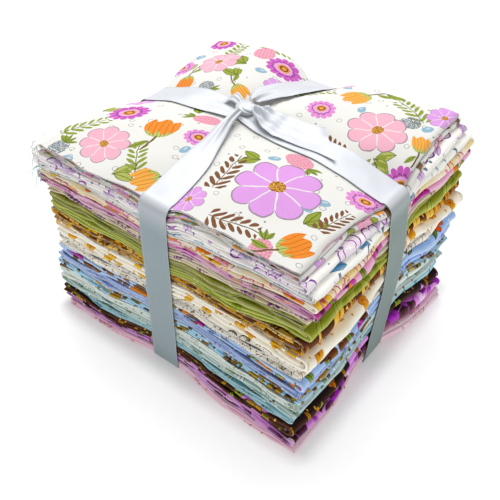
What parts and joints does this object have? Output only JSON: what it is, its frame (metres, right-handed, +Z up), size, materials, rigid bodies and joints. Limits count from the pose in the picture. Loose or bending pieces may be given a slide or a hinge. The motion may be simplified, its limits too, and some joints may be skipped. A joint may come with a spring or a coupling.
{
  "type": "fat quarter bundle",
  "caption": "Stack of folded fat quarters of printed quilting cotton, tied both ways with satin ribbon knotted on top.",
  "frame": {"origin": "under the middle of the bundle's box, at the surface it rests on", "axes": "+X along the longer side, parallel to the ribbon that runs side to side; +Y along the shorter side, towards the back; +Z up through the stack"},
  "size_m": [0.1626, 0.1474, 0.1136],
  "materials": {
    "cotton_cream_botanical": "plain-weave cotton, printed on the face, matte",
    "cotton_white_lilac_flower": "plain-weave cotton, printed on the face, matte",
    "cotton_white_blue_leaf": "plain-weave cotton, printed on the face, matte",
    "cotton_white_yellow_pink": "plain-weave cotton, printed on the face, matte",
    "cotton_pink_magenta_flower": "plain-weave cotton, printed on the face, matte",
    "cotton_beige_fern": "plain-weave cotton, printed on the face, matte",
    "cotton_olive_green": "plain-weave cotton, printed on the face, matte",
    "cotton_light_green_leaf": "plain-weave cotton, printed on the face, matte",
    "cotton_brown_gold_leaf": "plain-weave cotton, printed on the face, matte",
    "cotton_white_yellow_flower": "plain-weave cotton, printed on the face, matte",
    "cotton_cream_fine_line": "plain-weave cotton, printed on the face, matte",
    "cotton_blue_orange_flower": "plain-weave cotton, printed on the face, matte",
    "cotton_periwinkle": "plain-weave cotton, printed on the face, matte",
    "cotton_blue_brown_flower": "plain-weave cotton, printed on the face, matte",
    "cotton_pale_sage": "plain-weave cotton, printed on the face, matte",
    "cotton_grey_sage": "plain-weave cotton, printed on the face, matte",
    "cotton_teal_blue": "plain-weave cotton, printed on the face, matte",
    "cotton_dark_brown_gold": "plain-weave cotton, printed on the face, matte",
    "cotton_lilac_purple_leaf": "plain-weave cotton, printed on the face, matte",
    "cotton_pale_pink": "plain-weave cotton, printed on the face, matte",
    "satin_ribbon": "satin, soft sheen, without printing"
  },
  "bodies": {
    "root": {"quarter_01_cream_botanical": "cotton_cream_botanical", "quarter_02_white_lilac_flower": "cotton_white_lilac_flower", "quarter_03_white_blue_leaf": "cotton_white_blue_leaf", "quarter_04_white_yellow_pink": "cotton_white_yellow_pink", "quarter_05_pink_magenta_flower": "cotton_pink_magenta_flower", "quarter_06_beige_fern": "cotton_beige_fern", "quarter_07_olive_green": "cotton_olive_green", "quarter_08_light_green_leaf": "cotton_light_green_leaf", "quarter_09_brown_gold_leaf": "cotton_brown_gold_leaf", "quarter_10_white_yellow_flower": "cotton_white_yellow_flower", "quarter_11_cream_fine_line": "cotton_cream_fine_line", "quarter_12_blue_orange_flower": "cotton_blue_orange_flower", "quarter_13_periwinkle": "cotton_periwinkle", "quarter_14_blue_brown_flower": "cotton_blue_brown_flower", "quarter_15_pale_sage": "cotton_pale_sage", "quarter_16_grey_sage": "cotton_grey_sage", "quarter_17_teal_blue": "cotton_teal_blue", "quarter_18_dark_brown_gold": "cotton_dark_brown_gold", "quarter_19_lilac_purple_leaf": "cotton_lilac_purple_leaf", "quarter_20_pale_pink": "cotton_pale_pink", "ribbon_front_to_back": "satin_ribbon", "ribbon_side_to_side": "satin_ribbon", "ribbon_knot": "satin_ribbon", "ribbon_long_tail": "satin_ribbon", "ribbon_short_end": "satin_ribbon"}
  },
  "joints": []
}
